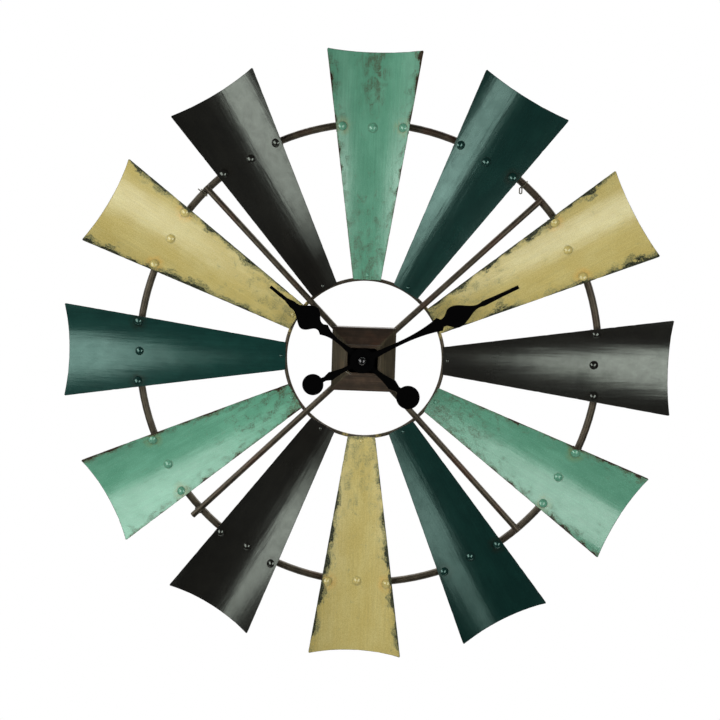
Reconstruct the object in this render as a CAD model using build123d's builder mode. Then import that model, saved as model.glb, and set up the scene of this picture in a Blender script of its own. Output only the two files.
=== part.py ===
"""Windmill wall clock: a wheel of twelve curved blades round a hub box that holds a quartz movement.

Millimetres. +Z is up and the dial faces -Y. The wall is the plane Y = 0, and the origin is where
the dial's axis meets it. A "forward" value is a distance from the wall towards the viewer (-Y).
Angles written as clockwise are hours' angles: clockwise from twelve, seen from the front.
"""

from math import asin, cos, radians, sin
import os

from build123d import *

# Wheel
blade_count = 12
blade_tip = 305.0  # radius where the straight outer end of a blade is cut
blade_heel = 79.8  # radius of its inner end
tip_half_width = 47.5
heel_half_width = 14.2
trough_radius = 80.0  # every blade is bent over the same roller
sheet = 0.8
blade_off = {3: -0.4, 4: -0.5, 8: -0.4, 11: -1.3, 12: 0.5}  # degrees a blade was set off its hour

rod_front = 12.5  # plane that touches both rings' fronts and the spokes' backs
outer_ring_radius = 235.0
outer_rod = 3.65
outer_ring_at = (1.9, 1.4)  # its centre, which the hand-built wheel has a little up and right
inner_ring_radius = 80.8
inner_rod = 1.85
spoke_rod = 3.1
spokes = {  # hour angle and outer end of each, as bent and cut by hand
    "spoke_upper_right": (46.2, 237.8),
    "spoke_lower_right": (136.3, 236.5),
    "spoke_lower_left": (225.6, 242.0),
    "spoke_upper_left": (315.6, 236.0),
}

strap = 1.0  # ribs and clips that the blades are riveted to
rib_inner = 225.5
rib_outer = 237.5
rib_half_width = 36.0
clip_width = 8.0
clip_outer = 89.2

large_rivet_radius = 231.5
large_rivet_across = 30.0
large_head = 4.4
large_head_height = 2.3
large_shank = 2.0
small_rivet_radius = 84.8
small_head = 2.0
small_head_height = 1.0
small_shank = 1.0
head_seat = 0.15  # lifts a flat head clear of the hollow sheet

right_wire_at = 40.65  # hour angle of each wire's turn
left_wire_at = 313.6
wire_radius = 0.6
wire_pitch = 1.7
wire_clearance = 0.1
wire_tail_outward = 6.0
wire_tail_inward = 4.6
eye_width = 2.4  # along the middle of the wire
eye_length = 6.0
eye_drop = 0.4  # keeps the eye clear of the ring

# Hub box
hub_width = 64.0
hub_sheet = 1.2
skirt_depth = 24.0
slope_front = 36.0
slope_width = 36.4
slope_height = 31.0
lip_front = 37.8
lip_wall = 3.4
lip_round = 0.7
slope_sheet = 1.4
opening_corner = 4.0
plate_thickness = 1.0

# Clock movement, from the wall forwards
case_width = 56.0
case_wall = 1.0
cover_back = 6.0
case_front = 22.0
bushing_front = 31.0
bushing_radius = 3.9
running_gap = 0.05
end_play = 0.1
pipe_radius = 2.6
arbor_radius = 1.6
pivot_radius = 0.5
post_radius = 0.6
pivot_back = 6.5
pivot_front = 21.5
case_corner = 3.0
post_reach = 0.2
washer_thickness = 0.8
rubber_radius = 7.0
brass_radius = 6.5
brass_thickness = 0.4
nut_across_flats = 11.0
nut_thickness = 2.0
bolt_gap = 0.1

# Wheel train: teeth, module, and the level of each wheel's back face
cannon_teeth = 12
motion_teeth = 36
motion_pinion_teeth = 10
hour_teeth = 40
knob_teeth = 12
centre_teeth = 60
third_pinion_teeth = 8
third_teeth = 64
seconds_pinion_teeth = 8
seconds_teeth = 60
intermediate_pinion_teeth = 12
intermediate_teeth = 60
rotor_teeth = 10
addendum = 0.7  # tooth heights, in modules
dedendum = 1.15
tooth_share = 0.42  # tooth width, as a share of the pitch
tip_share = 0.5
gear_thickness = 1.0
hour_level = 18.6
motion_level = 16.6
centre_level = 15.0
third_level = 13.4
seconds_level = 11.8
intermediate_level = 10.2
motion_module = 0.4
centre_module = 0.3
intermediate_module = 0.3
rotor_module = 0.25
cannon_module = motion_module * (motion_pinion_teeth + hour_teeth) / (cannon_teeth + motion_teeth)
third_module = centre_module * (third_pinion_teeth + centre_teeth) / (third_teeth + seconds_pinion_teeth)
seconds_front = 19.0
clutch_radius = 1.2
pipe_front = 42.4
knob_back = 1.5
knob_radius = 5.5
knob_shaft = 1.2
knob_flutes = 18
knob_flute = 0.5
knob_gap = 0.4

# Motor
magnet_radius = 2.2
magnet_back = 15.0
magnet_front = 17.2
air_gap = 0.4
stator_back = 15.7
stator_thickness = 0.7
bobbin_tube = 1.5
bobbin_flange = 0.6
coil_radius = 3.1
flange_rim = 0.2
core_width = 30.0
core_height = 2.0
core_at = (-1.0, 23.3)
leg_width = 4.0
leg_gap = 1.0
pole_low = 12.2
pole_high = 19.4

# Circuit board and crystal
board_size = (14.0, 30.0)
board_at = (19.0, 8.0)
board_back = 8.0
board_thickness = 1.0
chip_radius = 2.6
chip_height = 0.8
chip_at = (20.0, 0.0)
crystal_radius = 1.0
crystal_length = 6.0
crystal_at = (22.0, 10.0)

# Battery
battery_radius = 7.1
battery_length = 49.5
battery_forward = 13.6
battery_drop = 18.6
bay_gap = 0.4
battery_round = 0.6
nub_radius = 2.75
nub_length = 1.3
contact_sheet = 0.4
contact_gap = 0.5
spring_tip = 2.0  # radius of a contact spring where it meets the battery
spring_foot = 3.2

# Hands
hand_sheet = 0.8
hour_hand_level = 41.0
minute_hand_level = 44.0
hour_hand_at = 307.0
minute_hand_at = 62.6
hand_boss = 3.6
boss_height = 0.9
hand_disc = 12.2
arbor_front = 48.0
cap_radius = 4.4
cap_front = 50.4

blade_back = rod_front + strap
trough_centre = blade_back + sheet + trough_radius
cover_front = cover_back + case_wall
plate_back = case_front + washer_thickness
plate_front = plate_back + plate_thickness


def facing(forward, x=0.0, z=0.0, clockwise=0.0):
    """Plane that faces the viewer, with its local y towards the given hour angle."""
    turn = radians(clockwise)
    return Plane(origin=(x, -forward, z), x_dir=(cos(turn), 0, -sin(turn)), z_dir=(0, -1, 0))


def across(clockwise, radius=0.0):
    """Plane square to a radius: local x is clockwise, local y points back at the wall."""
    turn = radians(clockwise)
    outward = Vector(sin(turn), 0, cos(turn))
    return Plane(origin=outward * radius, x_dir=(cos(turn), 0, -sin(turn)), z_dir=outward)


def along(clockwise):
    """Plane that holds a radius: local x is outwards, local y points forward."""
    turn = radians(clockwise)
    return Plane(origin=(0, 0, 0), x_dir=(sin(turn), 0, cos(turn)), z_dir=(cos(turn), 0, -sin(turn)))


def blade_angle(hour):
    """Hour angle of one blade's middle line; the blade at twelve is number 0."""
    return hour * 360 / blade_count + blade_off.get(hour or blade_count, 0.0)


def turned(radius, back, front, at=(0.0, 0.0), mode=Mode.ADD):
    """Round bar, or a bore with Mode.SUBTRACT, that runs forward from back to front."""
    with Locations(facing(back, *at)):
        Cylinder(radius, front - back, align=(Align.CENTER, Align.CENTER, Align.MIN), mode=mode)


def block(width, height, back, front, at=(0.0, 0.0), mode=Mode.ADD):
    """Box that runs forward from back to front."""
    with Locations(facing(back, *at)):
        Box(width, height, front - back, align=(Align.CENTER, Align.CENTER, Align.MIN), mode=mode)


def save(builder, name):
    """Label the finished piece and write it to its own file."""
    builder.part.label = name
    export_step(builder.part, f"parts/{name}.step")


# ---------------------------------------------------------------- wheel


def make_ring(name, ring_radius, rod, at=(0.0, 0.0)):
    """Round rod bent into a full circle, its front on the common plane."""
    with BuildPart() as ring:
        with Locations(facing(rod_front - rod, *at)):
            Torus(ring_radius, rod)
    save(ring, name)


def make_spoke(name, clockwise, end):
    """Straight rod, notched over the hub's corner and lying on both rings."""
    with BuildPart() as spoke:
        with BuildSketch(across(clockwise, hub_width / 2)):
            with Locations((0, -(rod_front + spoke_rod))):
                Circle(spoke_rod)
        extrude(amount=end - hub_width / 2)
        block(hub_width, hub_width, 0, skirt_depth, mode=Mode.SUBTRACT)
    save(spoke, name)


def rivet_plane(clockwise, radius, sideways):
    """Plane on the hollow front of a blade, square to the sheet at one rivet."""
    lean = asin(sideways / trough_radius)
    forward = trough_centre - trough_radius * cos(lean)
    seat = facing(0, clockwise=clockwise)
    origin = seat.from_local_coords(Vector(sideways, radius, forward))
    normal = seat.from_local_coords(Vector(-sin(lean), 0, cos(lean)))
    return Plane(origin=origin, x_dir=across(clockwise).z_dir, z_dir=normal)


def rivet_planes(clockwise):
    """Planes of one blade's large rivets, and the plane of its small one."""
    row = (-large_rivet_across, 0, large_rivet_across)
    large = [rivet_plane(clockwise, large_rivet_radius, sideways) for sideways in row]
    return large, rivet_plane(clockwise, small_rivet_radius, 0)


def drill_rivet_holes(clockwise):
    """Holes for one blade's rivets through whatever piece is being built."""
    large, small = rivet_planes(clockwise)
    with Locations(*large):
        Cylinder(large_shank, 8, mode=Mode.SUBTRACT)
    with Locations(small):
        Cylinder(small_shank, 8, mode=Mode.SUBTRACT)


def make_blade(name, clockwise):
    """Sheet bent to a constant radius, hollow side forward, then cut to a taper."""
    with BuildPart() as blade:
        with BuildSketch(across(clockwise, blade_heel)):
            with Locations((0, -trough_centre)):
                Circle(trough_radius + sheet)
                Circle(trough_radius, mode=Mode.SUBTRACT)
            with Locations((0, -blade_back)):
                Rectangle(2 * tip_half_width, trough_radius, mode=Mode.INTERSECT)
        extrude(amount=blade_tip - blade_heel)
        with BuildSketch(facing(0, clockwise=clockwise)):
            with BuildLine():
                Polyline(
                    (-heel_half_width, blade_heel),
                    (heel_half_width, blade_heel),
                    (tip_half_width, blade_tip),
                    (-tip_half_width, blade_tip),
                    close=True,
                )
            make_face()
        extrude(amount=trough_centre, mode=Mode.INTERSECT)
        drill_rivet_holes(clockwise)
    save(blade, name)


def make_blade_ribs():
    """Curved strips that back the blades where they cross the outer ring."""
    with BuildPart() as ribs:
        for hour in range(blade_count):
            with BuildSketch(across(blade_angle(hour), rib_inner)):
                with Locations((0, -trough_centre)):
                    Circle(trough_radius + sheet + strap)
                    Circle(trough_radius + sheet, mode=Mode.SUBTRACT)
                with Locations((0, -rod_front)):
                    Rectangle(2 * rib_half_width, trough_radius, mode=Mode.INTERSECT)
            extrude(amount=rib_outer - rib_inner)
        for hour in range(blade_count):
            drill_rivet_holes(blade_angle(hour))
    save(ribs, "blade_ribs")


def make_ring_clips():
    """Short straps on the front of the inner ring, one behind the inner end of each blade."""
    with BuildPart() as clips:
        for hour in range(blade_count):
            with BuildSketch(along(blade_angle(hour))):
                with Locations((inner_ring_radius, rod_front)):
                    Rectangle(clip_outer - inner_ring_radius, strap, align=Align.MIN)
            extrude(amount=clip_width / 2, both=True)
        for hour in range(blade_count):
            drill_rivet_holes(blade_angle(hour))
    save(clips, "ring_clips")


def make_rivet(radius, height, shank):
    """One rivet on the XY plane: domed head above the sheet, shank peened flush below it."""
    grip = sheet + strap
    dome_radius = (radius**2 + height**2) / (2 * height)
    with BuildPart() as rivet:
        with BuildSketch(Plane.XZ):
            with BuildLine():
                Polyline(
                    (0, head_seat + height),
                    (0, -grip),
                    (shank, -grip),
                    (shank, head_seat),
                    (radius, head_seat),
                )
                RadiusArc((radius, head_seat), (0, head_seat + height), -dome_radius)
            make_face()
        revolve(axis=Axis.Z)
    return rivet.part


def make_rivets(name, first_hour):
    """All the rivets of one paint colour, which comes round every fourth blade."""
    large_rivet = make_rivet(large_head, large_head_height, large_shank)
    small_rivet = make_rivet(small_head, small_head_height, small_shank)
    with BuildPart() as rivets:
        for hour in range(first_hour, blade_count, 4):
            large, small = rivet_planes(blade_angle(hour))
            with Locations(*large):
                add(large_rivet)
            with Locations(small):
                add(small_rivet)
    save(rivets, name)


def wire_turn(clockwise, start):
    """One turn of wire round the outer ring, from the ring's outer side (0) or its front (90)."""
    clock = facing(rod_front - outer_rod, *outer_ring_at, clockwise=clockwise)
    centre = clock.from_local_coords(Vector(-wire_pitch / 2, outer_ring_radius, 0))
    towards = clock.y_dir * cos(radians(start)) + clock.z_dir * sin(radians(start))
    turn = Helix(wire_pitch, wire_pitch, outer_rod + wire_radius + wire_clearance)
    return turn.moved(Plane(origin=centre, x_dir=towards, z_dir=clock.x_dir).location)


def wire_section(path, share):
    """Plane across a wire's path, at a share of its length."""
    return Plane(origin=path @ share, z_dir=path % share)


def make_left_wire():
    """Wire with one turn round the ring and both ends left sticking out in front of it."""
    turn = wire_turn(left_wire_at, 90)
    with BuildPart() as wire:
        with BuildSketch(wire_section(turn, 0)):
            Circle(wire_radius)
        sweep(path=turn)
        for share, tail in ((0, -wire_tail_outward), (1, wire_tail_inward)):
            with BuildSketch(wire_section(turn, share)):
                Circle(wire_radius)
            extrude(amount=tail)
    save(wire, "hanging_wire_left")


def make_right_wire():
    """Wire with one turn round the ring that ends in a long eye, hanging straight down."""
    turn = wire_turn(right_wire_at, 180)
    start = turn @ 0
    middle = facing(-start.Y, start.X, start.Z - eye_drop - eye_length / 2)
    half = eye_width / 2
    straight = eye_length / 2 - half
    with BuildPart() as wire:
        with BuildSketch(wire_section(turn, 0)):
            Circle(wire_radius)
        sweep(path=turn)
        with BuildLine(middle) as eye:
            Line((-half, straight), (-half, -straight))
            RadiusArc((-half, -straight), (half, -straight), -half)
            Line((half, -straight), (half, straight))
            RadiusArc((half, straight), (-half, straight), -half)
        with BuildSketch(wire_section(eye.wire(), 0)):
            Circle(wire_radius)
        sweep(path=eye.wire())
    save(wire, "hanging_wire_right")


def make_wheel():
    """Rings, spokes, blades and everything that holds them together."""
    make_ring("outer_ring", outer_ring_radius, outer_rod, outer_ring_at)
    make_ring("inner_ring", inner_ring_radius, inner_rod)
    for name, (clockwise, end) in spokes.items():
        make_spoke(name, clockwise, end)
    for hour in range(blade_count):
        make_blade(f"blade_{hour or blade_count:02d}", blade_angle(hour))
    make_blade_ribs()
    make_ring_clips()
    for first_hour, paint in enumerate(("seafoam", "teal", "cream", "black")):
        make_rivets(f"rivets_{paint}", first_hour)
    make_right_wire()
    make_left_wire()


# ---------------------------------------------------------------- hub


def make_hub_housing():
    """Square sheet box, open at the back, that slopes in to a rolled frame round a dark opening."""
    inside = hub_width - 2 * hub_sheet
    with BuildPart() as hub:
        block(hub_width, hub_width, 0, skirt_depth)
        with BuildSketch(facing(skirt_depth)):
            Rectangle(hub_width, hub_width)
        with BuildSketch(facing(slope_front)):
            Rectangle(slope_width, slope_height)
        loft()
        block(slope_width, slope_height, slope_front, lip_front)
        fillet(hub.faces().sort_by(Axis.Y)[0].edges(), lip_round)
        block(inside, inside, 0, skirt_depth, mode=Mode.SUBTRACT)
        with BuildSketch(facing(skirt_depth)):
            Rectangle(inside, inside)
        with BuildSketch(facing(slope_front)):
            Rectangle(slope_width - 2 * slope_sheet, slope_height - 2 * slope_sheet)
        loft(mode=Mode.SUBTRACT)
        with BuildSketch(facing(slope_front)):
            RectangleRounded(slope_width - 2 * lip_wall, slope_height - 2 * lip_wall, opening_corner)
        extrude(amount=lip_front - slope_front, mode=Mode.SUBTRACT)
        fillet(hub.faces().sort_by(Axis.Y)[0].inner_wires()[0].edges(), lip_round)
    save(hub, "hub_housing")


def make_movement_plate():
    """Plate across the box that the movement is bolted to."""
    inside = hub_width - 2 * hub_sheet
    with BuildPart() as plate:
        block(inside, inside, plate_back, plate_front)
        turned(bushing_radius + bolt_gap, plate_back, plate_front, mode=Mode.SUBTRACT)
    save(plate, "movement_plate")


# ---------------------------------------------------------------- clock movement


def beside(at, distance, direction):
    """Point at a distance from another, direction counted anticlockwise from three o'clock."""
    return (at[0] + distance * cos(radians(direction)), at[1] + distance * sin(radians(direction)))


def gear_distance(teeth, other_teeth, module):
    """Distance between the axes of two gears in mesh."""
    return (teeth + other_teeth) * module / 2


def meshing_phase(phase, teeth, direction, other_teeth):
    """Angle of a tooth of the second gear, so that it meshes with the first one, in degrees."""
    offset = ((direction - phase) % (360 / teeth)) / (360 / teeth)
    return direction + 180 + (offset + 0.5) * 360 / other_teeth


def gear_profile(teeth, module, level, at=(0.0, 0.0), phase=0.0):
    """Clock gear outline: straight flanks up to the pitch circle, then a narrowing tip."""
    pitch_radius = teeth * module / 2
    root = pitch_radius - dedendum * module
    tip = pitch_radius + addendum * module
    half_tooth = 180 / teeth * tooth_share
    corners = (
        (root, -half_tooth),
        (pitch_radius, -half_tooth),
        (tip, -half_tooth * tip_share),
        (tip, half_tooth * tip_share),
        (pitch_radius, half_tooth),
        (root, half_tooth),
    )
    outline = [
        beside((0, 0), radius, phase + tooth * 360 / teeth + angle)
        for tooth in range(teeth)
        for radius, angle in corners
    ]
    with BuildSketch(facing(level, *at)) as profile:
        with BuildLine():
            Polyline(*outline, close=True)
        make_face()
    return profile.sketch


motion_at = beside((0, 0), gear_distance(cannon_teeth, motion_teeth, cannon_module), 150)
knob_at = beside(motion_at, gear_distance(motion_teeth, knob_teeth, cannon_module), 150)
third_at = beside((0, 0), gear_distance(third_pinion_teeth, centre_teeth, centre_module), 30)
intermediate_at = beside(
    (0, 0), gear_distance(seconds_teeth, intermediate_pinion_teeth, intermediate_module), 100
)
rotor_at = beside(intermediate_at, gear_distance(intermediate_teeth, rotor_teeth, rotor_module), 40)


def make_movement_case():
    """Front shell with the threaded bushing, the motion wheel's post and the front bearings."""
    floor = case_front - case_wall
    with BuildPart() as case:
        block(case_width, case_width, cover_front, case_front)
        fillet(case.edges().filter_by(Axis.Y), case_corner)
        turned(bushing_radius, case_front, bushing_front)
        inner = case_width - 2 * case_wall
        block(inner, inner, cover_front, floor, mode=Mode.SUBTRACT)
        bay_wall_at = battery_radius + bay_gap + case_wall / 2 - battery_drop
        block(inner, case_wall, cover_front, floor, at=(0, bay_wall_at))
        turned(pipe_radius + running_gap, floor, bushing_front, mode=Mode.SUBTRACT)
        turned(post_radius, motion_level - post_reach, floor, at=motion_at)
        for bearing_at in (third_at, intermediate_at, rotor_at, knob_at):
            bearing = pivot_radius + running_gap
            turned(bearing, floor, pivot_front + end_play, at=bearing_at, mode=Mode.SUBTRACT)
    save(case, "movement_case")


def make_movement_cover():
    """Back plate with the rear bearings, the knob's hole and the window of the battery bay."""
    with BuildPart() as cover:
        block(case_width, case_width, cover_back, cover_front)
        fillet(cover.edges().filter_by(Axis.Y), case_corner)
        window = (case_width - 4 * case_wall, 2 * (battery_radius + bay_gap))
        block(*window, cover_back, cover_front, at=(0, -battery_drop), mode=Mode.SUBTRACT)
        turned(knob_shaft + running_gap, cover_back, cover_front, at=knob_at, mode=Mode.SUBTRACT)
        for bearing_at in ((0, 0), third_at, intermediate_at, rotor_at):
            bearing = pivot_radius + running_gap
            turned(bearing, pivot_back - end_play, cover_front, at=bearing_at, mode=Mode.SUBTRACT)
    save(cover, "movement_cover")


def make_fixings():
    """Rubber washer behind the plate; brass washer and nut in front of it."""
    nut_back = plate_front + brass_thickness
    with BuildPart() as rubber:
        turned(rubber_radius, case_front, plate_back)
        turned(bushing_radius, case_front, plate_back, mode=Mode.SUBTRACT)
    save(rubber, "rubber_washer")
    with BuildPart() as brass:
        turned(brass_radius, plate_front, nut_back)
        turned(bushing_radius, plate_front, nut_back, mode=Mode.SUBTRACT)
    save(brass, "brass_washer")
    with BuildPart() as nut:
        with BuildSketch(facing(nut_back)):
            RegularPolygon(nut_across_flats / 2, 6, major_radius=False)
            Circle(bushing_radius, mode=Mode.SUBTRACT)
        extrude(amount=nut_thickness)
    save(nut, "hex_nut")


def make_motion_work():
    """Minute arbor, motion wheel, hour wheel and setting knob: twelve to one."""
    arbor_back = centre_level - end_play
    with BuildPart() as arbor:
        extrude(gear_profile(cannon_teeth, cannon_module, motion_level), amount=gear_thickness)
        turned(clutch_radius, arbor_back, motion_level)
        turned(arbor_radius, motion_level + gear_thickness, arbor_front)
        turned(pivot_radius + running_gap, arbor_back, seconds_front + 2 * end_play, mode=Mode.SUBTRACT)
    save(arbor, "minute_arbor")

    motion_phase = meshing_phase(0, cannon_teeth, 150, motion_teeth)
    motion_top = motion_level + gear_thickness
    with BuildPart() as motion:
        wheel = gear_profile(motion_teeth, cannon_module, motion_level, motion_at, motion_phase)
        extrude(wheel, amount=gear_thickness)
        pinion = gear_profile(motion_pinion_teeth, motion_module, motion_top, motion_at)
        extrude(pinion, amount=hour_level + gear_thickness + 2 * end_play - motion_top)
        turned(post_radius + running_gap, motion_level, case_front, at=motion_at, mode=Mode.SUBTRACT)
    save(motion, "motion_wheel")

    hour_phase = meshing_phase(0, motion_pinion_teeth, 330, hour_teeth)
    with BuildPart() as hour_wheel:
        wheel = gear_profile(hour_teeth, motion_module, hour_level, phase=hour_phase)
        extrude(wheel, amount=gear_thickness)
        turned(pipe_radius, hour_level, pipe_front)
        turned(arbor_radius + running_gap, hour_level, pipe_front, mode=Mode.SUBTRACT)
    save(hour_wheel, "hour_wheel")

    knob_phase = meshing_phase(motion_phase, motion_teeth, 150, knob_teeth)
    with BuildPart() as knob:
        with BuildSketch(facing(knob_back, *knob_at)):
            Circle(knob_radius)
            with PolarLocations(knob_radius, knob_flutes):
                Circle(knob_flute, mode=Mode.SUBTRACT)
        extrude(amount=cover_back - knob_back - knob_gap)
        turned(knob_shaft, knob_back, motion_level, at=knob_at)
        pinion = gear_profile(knob_teeth, cannon_module, motion_level, knob_at, knob_phase)
        extrude(pinion, amount=gear_thickness)
        turned(pivot_radius, motion_level, pivot_front, at=knob_at)
    save(knob, "setting_knob")


def make_train_wheel(name, at, wheel, pinion, arbor_end):
    """A wheel and its pinion on one arbor; wheel and pinion are (teeth, module, level, phase)."""
    with BuildPart() as mobile:
        for teeth, module, level, phase in (wheel, pinion):
            extrude(gear_profile(teeth, module, level, at, phase), amount=gear_thickness)
        turned(pivot_radius, pivot_back, arbor_end, at=at)
    save(mobile, name)


def make_running_train():
    """Rotor, intermediate, seconds, third and centre wheels: thirty turns a minute to one an hour."""
    centre_phase = meshing_phase(0, third_pinion_teeth, 210, centre_teeth)
    with BuildPart() as centre:
        wheel = gear_profile(centre_teeth, centre_module, centre_level, phase=centre_phase)
        extrude(wheel, amount=gear_thickness)
        bore_front = centre_level + gear_thickness
        turned(clutch_radius + running_gap, centre_level, bore_front, mode=Mode.SUBTRACT)
    save(centre, "centre_wheel")

    third_pinion = (third_pinion_teeth, centre_module, centre_level, 0)
    third_wheel = (third_teeth, third_module, third_level, 0)
    make_train_wheel("third_wheel", third_at, third_wheel, third_pinion, pivot_front)

    seconds_phase = meshing_phase(0, third_teeth, 210, seconds_pinion_teeth)
    seconds_pinion = (seconds_pinion_teeth, third_module, third_level, seconds_phase)
    seconds_wheel = (seconds_teeth, intermediate_module, seconds_level, 0)
    make_train_wheel("seconds_wheel", (0, 0), seconds_wheel, seconds_pinion, seconds_front)

    pinion_phase = meshing_phase(0, seconds_teeth, 100, intermediate_pinion_teeth)
    pinion = (intermediate_pinion_teeth, intermediate_module, seconds_level, pinion_phase)
    wheel = (intermediate_teeth, rotor_module, intermediate_level, 0)
    make_train_wheel("intermediate_wheel", intermediate_at, wheel, pinion, pivot_front)

    rotor_phase = meshing_phase(0, intermediate_teeth, 40, rotor_teeth)
    with BuildPart() as rotor:
        pinion = gear_profile(rotor_teeth, rotor_module, intermediate_level, rotor_at, rotor_phase)
        extrude(pinion, amount=gear_thickness)
        turned(pivot_radius, pivot_back, pivot_front, at=rotor_at)
    save(rotor, "rotor_pinion")
    with BuildPart() as magnet:
        turned(magnet_radius, magnet_back, magnet_front, at=rotor_at)
        turned(pivot_radius, magnet_back, magnet_front, at=rotor_at, mode=Mode.SUBTRACT)
    save(magnet, "rotor_magnet")


def make_motor():
    """Stator round the magnet, and the coil on its core."""
    middle_x, core_z = core_at
    front = stator_back + stator_thickness
    coil_length = core_width - 2 * (leg_width + leg_gap)
    coil_start = (middle_x - coil_length / 2, -(stator_back + front) / 2, core_z)
    coil_axis = Plane(origin=coil_start, z_dir=(1, 0, 0))
    with BuildPart() as stator:
        pole_at = (middle_x, (pole_low + pole_high) / 2)
        block(core_width, pole_high - pole_low, stator_back, front, at=pole_at)
        leg_top = core_z + core_height / 2
        for side in (-1, 1):
            leg_at = (middle_x + side * (core_width - leg_width) / 2, (pole_low + leg_top) / 2)
            block(leg_width, leg_top - pole_low, stator_back, front, at=leg_at)
        block(core_width, core_height, stator_back, front, at=core_at)
        turned(magnet_radius + air_gap, stator_back, front, at=rotor_at, mode=Mode.SUBTRACT)
    save(stator, "stator")
    with BuildPart() as bobbin:
        with BuildSketch(coil_axis):
            Circle(bobbin_tube)
        extrude(amount=coil_length)
        with BuildSketch(coil_axis, coil_axis.offset(coil_length - bobbin_flange)):
            Circle(coil_radius + flange_rim)
        extrude(amount=bobbin_flange)
        block(core_width, core_height, stator_back, front, at=core_at, mode=Mode.SUBTRACT)
    save(bobbin, "coil_bobbin")
    with BuildPart() as winding:
        with BuildSketch(coil_axis.offset(bobbin_flange)):
            Circle(coil_radius)
            Circle(bobbin_tube, mode=Mode.SUBTRACT)
        extrude(amount=coil_length - 2 * bobbin_flange)
    save(winding, "coil_winding")


def make_electronics():
    """Circuit board with its chip, the quartz crystal, the contacts and the battery."""
    board_front = board_back + board_thickness
    with BuildPart() as board:
        block(*board_size, board_back, board_front, at=board_at)
        turned(chip_radius, board_front, board_front + chip_height, at=chip_at)
    save(board, "circuit_board")
    crystal_x, crystal_z = crystal_at
    with BuildPart() as crystal:
        with BuildSketch(Plane.XY.offset(crystal_z)):
            with Locations((crystal_x, -(board_front + crystal_radius))):
                Circle(crystal_radius)
        extrude(amount=crystal_length)
    save(crystal, "quartz_crystal")

    contact_x = case_width / 2 - case_wall - contact_sheet / 2
    spring_length = contact_x - contact_sheet / 2 - battery_length / 2
    contact_front = case_front - 2 * case_wall
    with BuildPart() as contacts:
        for side in (-1, 1):
            contact_at = (side * contact_x, -battery_drop)
            contact_back = cover_front + contact_gap
            block(contact_sheet, 2 * battery_radius, contact_back, contact_front, at=contact_at)
            battery_end = (side * battery_length / 2, -battery_forward, -battery_drop)
            with Locations(Plane(origin=battery_end, z_dir=(side, 0, 0))):
                upright = (Align.CENTER, Align.CENTER, Align.MIN)
                Cone(spring_tip, spring_foot, spring_length, align=upright)
    save(contacts, "battery_contacts")
    end = Plane(origin=(-battery_length / 2, -battery_forward, -battery_drop), z_dir=(1, 0, 0))
    with BuildPart() as battery:
        with BuildSketch(end):
            Circle(battery_radius)
        extrude(amount=battery_length - nub_length)
        fillet(battery.edges().filter_by(GeomType.CIRCLE), battery_round)
        with BuildSketch(end.offset(battery_length - nub_length)):
            Circle(nub_radius)
        extrude(amount=nub_length)
    save(battery, "battery")


# ---------------------------------------------------------------- hands


def hand_half(points):
    """Face on one side of a hand's axis, bounded by a smooth edge through the points."""
    with BuildSketch() as half:
        with BuildLine():
            edge = Spline(*points)
            Polyline(edge @ 1, (0, points[-1][1]), (0, points[0][1]), edge @ 0)
        make_face()
        mirror(about=Plane.YZ)
    return half.sketch


def tapered(half_width, start, end_half_width, end):
    """Straight-sided stretch of a hand."""
    with BuildSketch() as stretch:
        with BuildLine():
            Polyline(
                (-half_width, start),
                (half_width, start),
                (end_half_width, end),
                (-end_half_width, end),
                close=True,
            )
        make_face()
    return stretch.sketch


def make_hand(name, level, clockwise, bore, shape):
    """Spade hand cut from sheet: shape lists its smooth and straight stretches and its tail."""
    smooth, straight, tail_at, tail_radius = shape
    with BuildPart() as hand:
        with BuildSketch(facing(level, clockwise=clockwise)):
            Circle(hand_disc)
            for points in smooth:
                add(hand_half(points))
            for stretch in straight:
                add(tapered(*stretch))
            with Locations((0, tail_at)):
                Circle(tail_radius)
        extrude(amount=hand_sheet)
        turned(hand_boss, level - boss_height, level)
        turned(bore, level - boss_height, level + hand_sheet, mode=Mode.SUBTRACT)
    save(hand, name)


def make_hands():
    """The two spade hands and the cap that hides the end of the arbor."""
    minute_shape = (
        [
            [(3.4, 10.0), (2.0, 37.0), (2.6, 59.0), (7.0, 84.3)],
            [(4.0, 87.0), (4.3, 90.0), (10.4, 98.0), (11.0, 102.0), (6.9, 113.0), (2.7, 131.0)],
            [(2.2, -10.0), (2.6, -25.0), (4.4, -34.7)],
        ],
        [
            (7.0, 84.3, 4.0, 87.0),
            (4.0, 87.0, 4.0, 87.0 + 0.5),
            (2.7, 131.0, 1.9, 152.0),
            (1.9, 152.0, 1.8, 169.0),
            (4.4, -34.7, 2.2, -41.0),
            (2.2, -41.0, 2.6, -46.0),
        ],
        -54.5,
        10.6,
    )
    hour_shape = (
        [
            [(3.4, 10.0), (2.0, 26.0), (2.8, 40.0), (6.3, 49.0)],
            [(4.2, 52.5), (5.0, 57.0), (9.8, 61.5), (13.3, 67.5), (9.5, 75.5), (3.8, 88.5)],
            [(2.6, -10.0), (3.2, -27.0), (5.4, -37.8)],
        ],
        [
            (6.3, 49.0, 4.2, 52.5),
            (3.8, 88.5, 1.8, 97.0),
            (1.8, 97.0, 1.5, 117.0),
            (5.4, -37.8, 2.8, -44.5),
            (2.8, -44.5, 3.2, -48.0),
        ],
        -57.9,
        11.7,
    )
    make_hand("minute_hand", minute_hand_level, minute_hand_at, arbor_radius, minute_shape)
    make_hand("hour_hand", hour_hand_level, hour_hand_at, pipe_radius, hour_shape)

    cap_back = minute_hand_level + hand_sheet
    with BuildPart() as cap:
        turned(cap_radius, cap_back, cap_front)
        fillet(cap.faces().sort_by(Axis.Y)[0].edges(), cap_radius - 0.6)
        turned(arbor_radius, cap_back, arbor_front, mode=Mode.SUBTRACT)
    save(cap, "cap_nut")


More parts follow.
